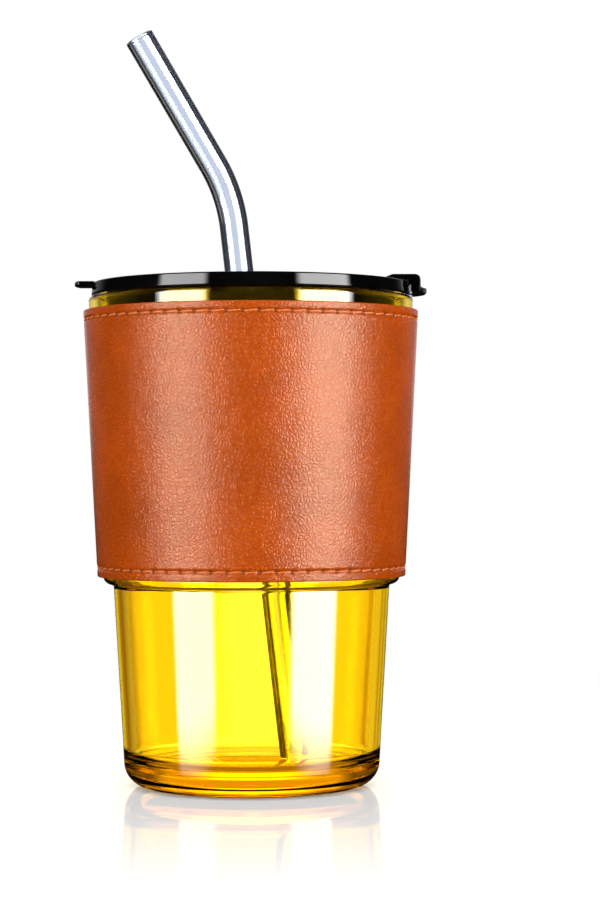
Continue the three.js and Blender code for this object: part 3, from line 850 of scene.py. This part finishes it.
def makeLidBody():
    plugInside, groove = lid["plug"] - lid["plugWall"], lid["plug"] - lid["grooveDepth"]
    piece = turnedPiece("lidBody", [
        (0, lid["panelUnder"]),
        (plugInside, lid["panelUnder"], lid["plugFillet"]),
        (plugInside, lid["plugBottom"], lid["plugEdge"]),
        (lid["plug"], lid["plugBottom"], lid["plugFillet"]),
        (lid["plug"], lid["grooveLow"], lid["grooveFillet"]),
        (groove, lid["grooveLow"], lid["grooveFillet"]),
        (groove, lid["grooveHigh"], lid["grooveFillet"]),
        (lid["plug"], lid["grooveHigh"], lid["grooveFillet"]),
        (lid["plug"], lid["under"], lid["underFillet"]),
        (lid["radius"], lid["under"], lid["fillet"]),
        (lid["radius"] - lid["draft"], lid["top"], lid["edgeFillet"]),
        (lid["recess"], lid["top"], lid["fillet"]),
        (lid["recess"], lid["recessFloor"], lid["fillet"]),
        (0, lid["recessFloor"]),
    ], lid["steps"])
    tabRoot = lid["radius"] - lid["tabRoot"]
    tabTop = lid["top"] + lid["tabRise"]
    tabEnd = lid["radius"] + lid["tabReach"]
    tabPlan = tonguePlan(-tabRoot, lid["tabDrop"] - tabEnd, -tabEnd, lid["tabWidth"])
    tab = raisedPlan("tab", tabPlan, tabTop - lid["tabThick"], tabTop)
    softenEdges(tab, lid["tabEdge"])
    combine(piece, tab, "UNION")
    for side in (-1, 1):
        combine(piece, makeEar(side), "UNION")
    low, high = lid["panelUnder"] - past, lid["recessFloor"] + past
    combine(piece, roundPost("strawHole", lid["strawX"], lid["strawHole"], low, high), "DIFFERENCE")
    slotPlan = oblongPlan(lid["slotX"], lid["slotLength"], lid["slotWidth"])
    slot = raisedPlan("slot", slotPlan, low, high)
    combine(piece, slot, "DIFFERENCE")
    finishPiece(piece, glossPlastic, "lid", ["lid_body"])


makeLidBody()


gasket = {
    "fit": 0.15, "play": 0.19, "lips": (0.35, 0.85), "notch": 0.6, "fillet": 0.2, "lipFillet": 0.15,
    "steps": 160,
}


def makeLidGasket():
    low = lid["grooveLow"] + gasket["fit"]
    tall = lid["grooveHigh"] - lid["grooveLow"] - 2 * gasket["fit"]
    inside = lid["plug"] - lid["grooveDepth"] + gasket["fit"]
    root, fillet = lid["plug"] + gasket["fit"], gasket["fillet"]

    def lip(share):
        height = low + share * tall
        reach = bowlRadius(height) - glassCup["wall"] - gasket["play"]
        return (reach, height, gasket["lipFillet"])

    lowLip, highLip = gasket["lips"]
    piece = turnedPiece("lidGasket", [
        (inside, low, fillet), (root, low, fillet), lip(lowLip),
        (root, low + gasket["notch"] * tall, fillet), lip(highLip),
        (root, low + tall, fillet), (inside, low + tall, fillet),
    ], gasket["steps"], True)
    finishPiece(piece, softSilicone, "lid", ["lid_gasket"])


makeLidGasket()


# flip cap: a plate in the recess that climbs over the lid's edge and ends in a finger lip
cap = {
    "width": 20, "thick": 1.5, "under": 136.8, "rampStart": 36.78, "rampEnd": 39.58, "bridge": 139.3,
    "bridgeFillet": 2.5, "legInner": 45.2, "legOuter": 46.6, "legBottom": 135.9, "lipEnd": 48.9,
    "lipThick": 1.3, "cornerDrop": 2.7, "edge": 0.3, "edgeTurn": 50, "stud": 1.72, "knee": 1,
    "kneeRun": 0.3, "legFillet": 1.1, "webInner": 44.75, "webWidth": 17, "webRise": 0.3,
    "spare": 4, "roomSides": 200, "barrelEdge": 0.2, "studSides": 48,
}


def makeFlipCap():
    under, thick, lip = cap["under"], cap["thick"], cap["lipThick"]
    top, bridgeTop = under + thick, cap["bridge"] + thick
    rampTop = cap["rampStart"] - thick / 2
    arm = crossSection("flipCap", [
        (hinge["x"], under),
        (cap["rampStart"], under, thick),
        (cap["rampEnd"], cap["bridge"], thick),
        (cap["legInner"], cap["bridge"], cap["legFillet"]),
        (cap["legInner"], cap["legBottom"]),
        (cap["lipEnd"], cap["legBottom"], lip / 2),
        (cap["lipEnd"], cap["legBottom"] + lip, lip / 2),
        (cap["legOuter"], cap["legBottom"] + lip, lip / 2),
        (cap["legOuter"], bridgeTop, cap["bridgeFillet"]),
        (cap["rampEnd"] - thick / 2, bridgeTop, thick),
        (rampTop + cap["kneeRun"], bridgeTop - cap["knee"], thick),
        (rampTop, top, thick / 4),
        (hinge["x"], top),
    ], 0, cap["width"] + cap["spare"])
    planBack = hinge["x"] - 2 * hinge["barrel"]
    plan = tonguePlan(planBack, cap["lipEnd"] - cap["cornerDrop"], cap["lipEnd"], cap["width"])
    outline = raisedPlan("capPlan", plan, cap["legBottom"] - past, bridgeTop + past)
    combine(arm, outline, "INTERSECT")
    softenEdges(arm, cap["edge"], cap["edgeTurn"])
    middle = (cap["legInner"] + cap["legOuter"]) / 2
    webLow, webHigh = cap["legBottom"] + cap["webRise"], cap["bridge"] + thick / 2
    web = crossSection("capWeb", [
        (lid["recess"], webLow), (middle, webLow), (middle, webHigh), (lid["recess"], webHigh),
    ], 0, cap["webWidth"])
    room = roundPost(
        "lidRoom", 0, cap["webInner"], cap["legBottom"] - past, cap["bridge"], cap["roomSides"],
    )
    combine(web, room, "DIFFERENCE")
    combine(arm, web, "UNION")
    barrel = hingeBar("barrel", hinge["barrel"], 0, cap["width"])
    softenEdges(barrel, cap["barrelEdge"], sharpTurn)
    combine(arm, barrel, "UNION")
    pinHole = hingeBar("pinHole", hinge["pin"] + hinge["fit"], 0, cap["width"] + 2 * past)
    combine(arm, pinHole, "DIFFERENCE")
    studHole = roundPost("studHole", lid["slotX"], cap["stud"], under - past, top + past, cap["studSides"])
    combine(arm, studHole, "DIFFERENCE")
    finishPiece(arm, glossPlastic, "cap", ["flip_cap"])


makeFlipCap()


stopper = {
    "clearance": 0.35, "proud": 0.3, "chamfer": 0.5, "gap": 0.12,
    "stud": 1.6, "studRoot": 0.5, "studSteps": 48, "head": 2.6, "headHeight": 0.9, "headFillet": 0.2,
}


def makeStopper():
    low, high = lid["panelUnder"] - stopper["proud"], cap["under"] - stopper["gap"]
    clear = 2 * stopper["clearance"]
    plan = oblongPlan(lid["slotX"], lid["slotLength"] - clear, lid["slotWidth"] - clear)
    block = raisedPlan("flipCapStopper", plan, low, high)
    softenEdges(block, stopper["chamfer"], sharpTurn)
    root = high - stopper["studRoot"]
    headLow = cap["under"] + cap["thick"] + stopper["gap"]
    headTop = headLow + stopper["headHeight"]
    stud = turnedPiece("stud", [
        (0, root), (stopper["stud"], root), (stopper["stud"], headLow),
        (stopper["head"], headLow, stopper["headFillet"]),
        (stopper["head"], headTop, stopper["headHeight"]), (0, headTop),
    ], stopper["studSteps"])
    stud.location.x = lid["slotX"] * mm
    combine(block, stud, "UNION")
    finishPiece(block, softSilicone, "cap", ["flip_cap_stopper"])


makeStopper()


pin = {"short": 0.6, "sides": 32, "edge": 0.2}
steelLook = {
    "size": 2.0, "least": 0.2, "most": 0.35, "spread": (0.3, 0.7),
    "dark": (0.48, 0.49, 0.5, 1), "light": (0.62, 0.63, 0.65, 1),
}


def makePinSteel():
    look = steelLook
    material, tree, shader = newMaterial("pinSteel", Metallic=1.0)
    marks = placeGroup(tree, handlingMarks, Size=look["size"], Least=look["least"], Most=look["most"])
    feed(shader, "Roughness", marks.outputs["Roughness"])
    shade = remap(tree, marks.outputs["Ripple"], *look["spread"])
    feed(shader, "Base Color", blendColours(tree, shade, look["dark"], look["light"]))
    return material


def makeHingePin():
    length = 2 * lid["earOffset"] + lid["earThick"] - pin["short"]
    piece = hingeBar("hingePin", hinge["pin"], 0, length, pin["sides"])
    softenEdges(piece, pin["edge"], sharpTurn)
    finishPiece(piece, makePinSteel(), "lid", ["hinge_pin"])


makeHingePin()


grommet = {
    "bore": 4.43, "neck": 6.43, "flange": 8.13, "flangeHeight": 1.2, "low": 133.35, "high": 137.85,
    "fillet": 0.2, "neckFillet": 0.15, "mouthFillet": 0.3, "steps": 96,
}


def makeGrommet():
    low, high, tall = grommet["low"], grommet["high"], grommet["flangeHeight"]
    fillet, neckFillet = grommet["fillet"], grommet["neckFillet"]
    piece = turnedPiece("strawGrommet", [
        (grommet["bore"], low, fillet),
        (grommet["flange"] - tall / 2, low, fillet),
        (grommet["flange"], low + tall, fillet),
        (grommet["neck"], low + tall, neckFillet),
        (grommet["neck"], high - tall, neckFillet),
        (grommet["flange"], high - tall, fillet),
        (grommet["flange"], high, tall / 2),
        (grommet["bore"], high, grommet["mouthFillet"]),
    ], grommet["steps"], True)
    piece.location.x = lid["strawX"] * mm
    finishPiece(piece, softSilicone, "straw_seal", ["straw_grommet"])


makeGrommet()


# straw: a glass tube, straight through the grommet and bent above the lid
straw = {
    "radius": 4, "wall": 1, "lower": 128.45, "above": 19, "bendRadius": 36, "bend": 29.5, "upper": 40.5,
    "lean": 6.4, "turn": 36, "pivot": 135.6, "sides": 64, "bendSteps": 28, "lip": 0.35, "lipSteps": 4,
}


def makeStraw():
    selectOnly()
    bpy.ops.mesh.primitive_circle_add(
        vertices=straw["sides"], radius=straw["radius"] * mm, location=(0, 0, 0),
    )
    piece = bpy.context.object
    piece.name = "straw"
    editPiece(piece)
    selectAll()
    bpy.ops.transform.translate(value=(0, 0, -straw["lower"] * mm))
    for rise in (straw["lower"], straw["above"]):
        extrude((0, 0, rise * mm))
    bend, reach = math.radians(straw["bend"]), straw["bendRadius"] * mm
    # with no window a spin runs the other way
    bpy.ops.mesh.spin(
        steps=straw["bendSteps"], angle=bend,
        center=(-reach, 0, straw["above"] * mm), axis=(0, 1, 0),
    )
    end = Vector((reach * (math.cos(bend) - 1), 0, straw["above"] * mm + reach * math.sin(bend)))
    edge = straw["radius"] * mm + drawing["weld"]
    pickVertices(piece, lambda co: (co - end).length < edge)
    rise = Vector((-math.sin(bend), 0, math.cos(bend))) * straw["upper"] * mm
    extrude(rise)
    closeMesh()
    useModifier(piece, "SOLIDIFY", thickness=straw["wall"] * mm, offset=-1, use_even_offset=True)
    softenEdges(piece, straw["lip"], sharpTurn, straw["lipSteps"])
    piece.matrix_world = (
        Matrix.Translation((lid["strawX"] * mm, 0, straw["pivot"] * mm))
        @ Matrix.Rotation(-math.radians(straw["lean"]), 4, "Y")
        @ Matrix.Rotation(math.radians(straw["turn"]), 4, "Z")
    )
    finishPiece(piece, clearGlass, "straw", ["straw"], smoothAngle=60)


makeStraw()
print("pieces made")


# pale floor that mirrors the foot of the cup and fades out
floorLook = {
    "radius": 0.34, "drop": 0.0001, "sides": 96, "glow": 0.86, "shadow": (0.029, 0.036), "shadowShare": 0.3,
    # painted light: the floor's reflection is tinted amber next to the foot
    "matt": (0.3, 0.3, 0.3, 1), "paintedAmber": (1, 0.92, 0.68, 1), "paintedAmberEdge": (0.032, 0.042),
    "mirror": 0.42, "mirrorReach": (0.03, 0.26), "mirrorRough": 0.03, "fade": (0.22, 0.33),
    "underReach": 0.05, "underEnd": (0.036, 0.046),
    # seen through the glass: painted amber light inside the foot, a painted shadow ring under it, then the
    # pale floor
    "paintedUnderCup": (
        (0.46, (0.92, 0.5, 0.1, 1)), (0.54, (0.45, 0.23, 0.03, 1)),
        (0.64, (0.45, 0.23, 0.03, 1)), (0.78, (1, 1, 1, 1)),
    ),
}


def makeFloor():
    look = floorLook
    selectOnly()
    bpy.ops.mesh.primitive_circle_add(
        vertices=look["sides"], radius=look["radius"], fill_type="NGON", location=(0, 0, -look["drop"]),
    )
    piece = bpy.context.object
    piece.name = "floor"
    bpy.ops.object.transform_apply(location=True)
    piece.data.materials.append(makePaleFloor(look))
    piece.visible_glossy = False


def makePaleFloor(look):
    material = bpy.data.materials.new("paleFloor")
    material.use_nodes = True
    tree = material.node_tree
    tree.nodes.remove(tree.nodes["Principled BSDF"])

    def shader(kind, **sockets):
        return addNode(tree, kind, sockets).outputs[0]

    def mixShaders(share, first, second):
        return addNode(tree, "MixShader", {0: share, 1: first, 2: second}).outputs[0]

    rays = addNode(tree, "LightPath")
    seenDirectly, seenThrough = rays.outputs["Is Camera Ray"], rays.outputs["Is Transmission Ray"]
    coords = addNode(tree, "TexCoord").outputs["Object"]
    away = addNode(tree, "VectorMath", {0: coords}, operation="LENGTH").outputs["Value"]
    aside = calc(tree, "ABSOLUTE", addNode(tree, "SeparateXYZ", {0: coords}).outputs[0])
    shade = remap(tree, away, *look["shadow"], look["shadowShare"] * look["glow"], look["glow"])
    glow = shader("Emission", Color=(1, 1, 1, 1), Strength=shade)
    matt = shader("BsdfDiffuse", Color=look["matt"])
    white = addNode(tree, "AddShader", {0: glow, 1: matt}).outputs[0]
    # painted light: the floor's mirror is tinted amber near the cup
    paintedAmberMirror = blendColours(tree, remap(tree, aside, *look["paintedAmberEdge"]), look["paintedAmber"], (1, 1, 1, 1))
    mirror = shader("BsdfGlossy", Color=paintedAmberMirror, Roughness=look["mirrorRough"])
    shine = remap(tree, away, *look["mirrorReach"], look["mirror"], 0.0)
    plain = mixShaders(seenDirectly, matt, white)
    top = mixShaders(calc(tree, "MULTIPLY", shine, seenDirectly), plain, mirror)
    paintedUnderCup = shadeRamp(tree, calc(tree, "DIVIDE", away, look["underReach"]), look["paintedUnderCup"])
    lit = mixShaders(seenThrough, top, shader("Emission", Color=paintedUnderCup))
    beyond = calc(tree, "MULTIPLY", remap(tree, away, *look["underEnd"]), seenThrough)
    fade = calc(tree, "MAXIMUM", beyond, remap(tree, away, *look["fade"]))
    seen = mixShaders(fade, lit, shader("BsdfTransparent"))
    feed(tree.nodes["Material Output"], "Surface", seen)
    return material


makeFloor()
print("floor laid")


# studio light: a white room behind, dark sides, tall softboxes in front and one overhead
studio = {
    "softboxes": (  # name, degrees from the front, width, power, mirrored or matt light
        ("shineLeft", -49, 0.55, 22.0, True),
        ("shineRight", 53, 0.62, 31.0, True),
        ("mattLeft", -46, 0.55, 4.5, False),
        ("mattRight", 46, 0.55, 6.0, False),
    ),
    "away": 0.75, "centre": 0.205, "height": 0.75,
    "sideFade": 0.15, "endFade": 0.06, "topPower": 2.5, "topHeight": 0.75, "topSize": 0.6,
}


def softenSides(light):
    light.use_nodes = True
    tree = light.node_tree
    place = addNode(tree, "SeparateXYZ", {0: addNode(tree, "NewGeometry").outputs["Parametric"]})
    strength = 1.0
    for number, fade in enumerate((studio["sideFade"], studio["endFade"])):
        offset = calc(tree, "ABSOLUTE", calc(tree, "SUBTRACT", place.outputs[number], 0.5))
        inward = calc(tree, "SUBTRACT", 0.5, offset)
        strength = calc(tree, "MULTIPLY", strength, remap(tree, inward, 0.0, fade))
    feed(tree.nodes["Emission"], "Strength", strength)


def addSoftbox(name, place, aim, width, height, power, shine):
    selectOnly()
    bpy.ops.object.light_add(type="AREA", location=place)
    box = bpy.context.object
    box.name = name
    box.data.shape = "RECTANGLE"
    box.data.size, box.data.size_y = width, height
    box.data.energy = power
    box.rotation_euler = (Vector(aim) - Vector(place)).to_track_quat("-Z", "Y").to_euler()
    box.visible_camera = False
    box.visible_diffuse = not shine
    box.visible_glossy = box.visible_transmission = shine
    if shine:
        softenSides(box.data)


def makeStudio():
    aim = (0, 0, studio["centre"])
    for name, azimuth, width, power, shine in studio["softboxes"]:
        angle = math.radians(azimuth)
        place = Vector((math.sin(angle), -math.cos(angle), 0)) * studio["away"]
        place.z = studio["centre"]
        addSoftbox(name, place, aim, width, studio["height"], power, shine)
    addSoftbox(
        "softboxTop", (0, 0, studio["topHeight"]), (0, 0, 0),
        studio["topSize"], studio["topSize"], studio["topPower"], False,
    )


# how bright the room behind looks through glass, from left to right
roomBehind = (
    (0.02, (0.5, 0.46, 0.38, 1)), (0.1, (0.4, 0.28, 0.14, 1)), (0.14, (0.3, 0.15, 0.02, 1)),
    (0.235, (0.3, 0.15, 0.02, 1)), (0.265, (0.6, 0.45, 0.2, 1)), (0.31, (0.85, 0.8, 0.7, 1)),
    (0.345, (1, 1, 1, 1)), (0.6, (1, 1, 1, 1)), (0.66, (0.92, 0.88, 0.8, 1)),
    (0.69, (0.75, 0.6, 0.3, 1)), (0.715, (0.45, 0.26, 0.04, 1)), (0.745, (0.45, 0.26, 0.04, 1)),
    (0.775, (0.85, 0.75, 0.4, 1)), (0.84, (0.55, 0.38, 0.06, 1)), (0.9, (0.8, 0.68, 0.25, 1)),
)
# a pair or a row of four is a remap: from low, from high, to low, to high
roomLight = {
    "behindSpan": (-0.7, 0.7), "behind": 1.3, "hot": (1.2, 1.2, 14.0), "hotWidth": (0.045, 0.012),
    "aboveFloor": (-0.02, 0.02), "edgeGlow": (0.6, 0.9, 0.0, 0.35), "backdrop": (0.955, 0.985, 0.0, 0.65),
    "dimSides": (0.65, 0.45, 0.2, 1.0), "glare": (0.42, 0.12, 0.0, 3.0), "glareRise": (0.19, 0.235),
    "horizon": (-0.046, -0.036), "ahead": (-0.1, 0.3, 0.4, 1.0), "leastGloss": 0.004,
    "sideFill": (0.75, 0.95, 0.24, 1.1), "mattBack": 0.45,
}


def makeWorld():
    look = roomLight
    world = bpy.data.worlds.new("studioRoom")
    scene.world = world
    world.use_nodes = True
    tree = world.node_tree
    way = addNode(tree, "SeparateXYZ", {0: addNode(tree, "TexCoord").outputs["Generated"]})
    x, y, z = way.outputs[0], way.outputs[1], way.outputs[2]
    aside = calc(tree, "ABSOLUTE", x)

    # what glossy and matt surfaces get: a bright back wall, and matt ones light from the sides too
    back = calc(tree, "ADD", *[
        calc(tree, "MULTIPLY", remap(tree, y, *look[part]), remap(tree, z, *look["aboveFloor"]))
        for part in ("edgeGlow", "backdrop")
    ])
    gloss = calc(tree, "ADD", back, look["leastGloss"])
    matt = calc(tree, "MULTIPLY_ADD", back, look["mattBack"], remap(tree, aside, *look["sideFill"]))

    # what is seen through glass: the room behind below the horizon, and dim sides with a glare above it
    behind = shadeRamp(tree, remap(tree, x, *look["behindSpan"], smooth=False), roomBehind)
    behind = scaled(tree, behind, look["behind"])
    hot = vectorCalc(tree, "ADD", behind, look["hot"])
    behind = blendColours(tree, remap(tree, aside, *look["hotWidth"]), behind, hot)
    rise = remap(tree, z, *look["glareRise"])
    glare = calc(tree, "MULTIPLY", remap(tree, aside, *look["glare"]), rise)
    above = asGrey(tree, calc(tree, "ADD", remap(tree, aside, *look["dimSides"]), glare))
    through = blendColours(tree, remap(tree, z, *look["horizon"]), behind, above)
    through = scaled(tree, through, remap(tree, y, *look["ahead"]))

    rays = addNode(tree, "LightPath").outputs
    light = addNode(tree, "Mix", {0: rays["Is Glossy Ray"], 2: matt, 3: gloss}).outputs[0]
    light = blendColours(tree, rays["Is Transmission Ray"], asGrey(tree, light), through)
    light = blendColours(tree, rays["Is Camera Ray"], light, (1, 1, 1, 1))
    feed(tree.nodes["Background"], "Color", light)


makeStudio()
makeWorld()
print("studio lit")
